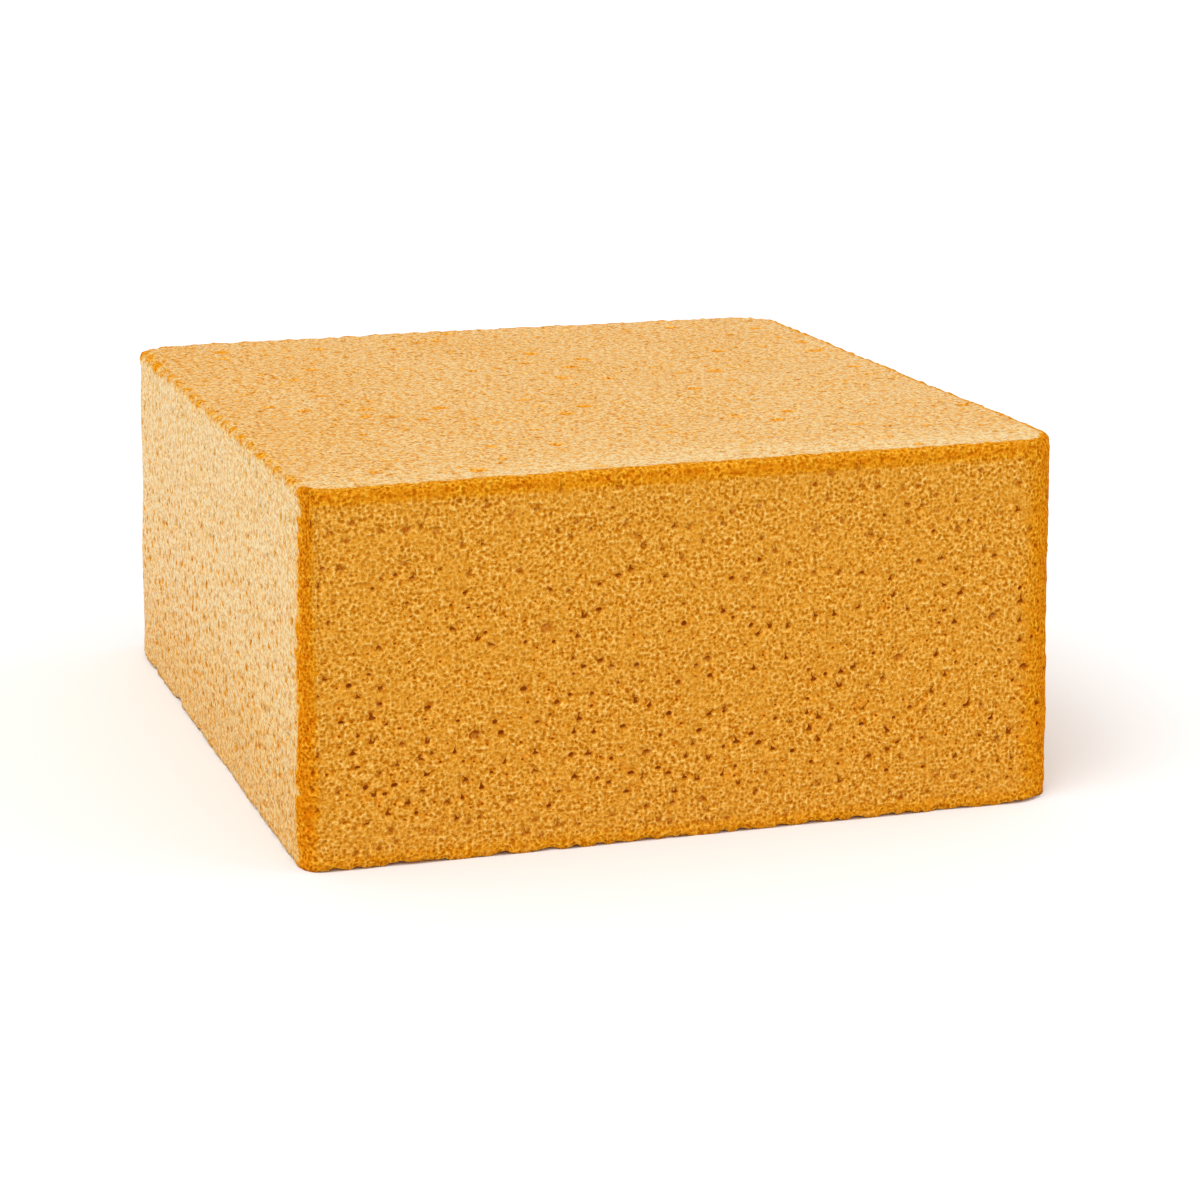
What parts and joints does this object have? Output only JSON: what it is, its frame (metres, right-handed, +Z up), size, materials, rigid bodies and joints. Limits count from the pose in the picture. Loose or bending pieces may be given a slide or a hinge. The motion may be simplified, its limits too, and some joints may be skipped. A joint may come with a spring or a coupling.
{
  "type": "square mud cake",
  "caption": "Plain square mud cake without icing: a tall golden block with a fine porous crust, softly rounded corners, browned edges and a crumbly lower edge.",
  "frame": {"origin": "middle of the flat base", "axes": "+Z up, front wall facing -Y, left wall facing -X"},
  "size_m": [0.2034, 0.2034, 0.0955],
  "materials": {
    "crust": "baked golden crust, matt and porous, browner along the edges"
  },
  "bodies": {
    "root": {"cake": "crust"}
  },
  "joints": []
}
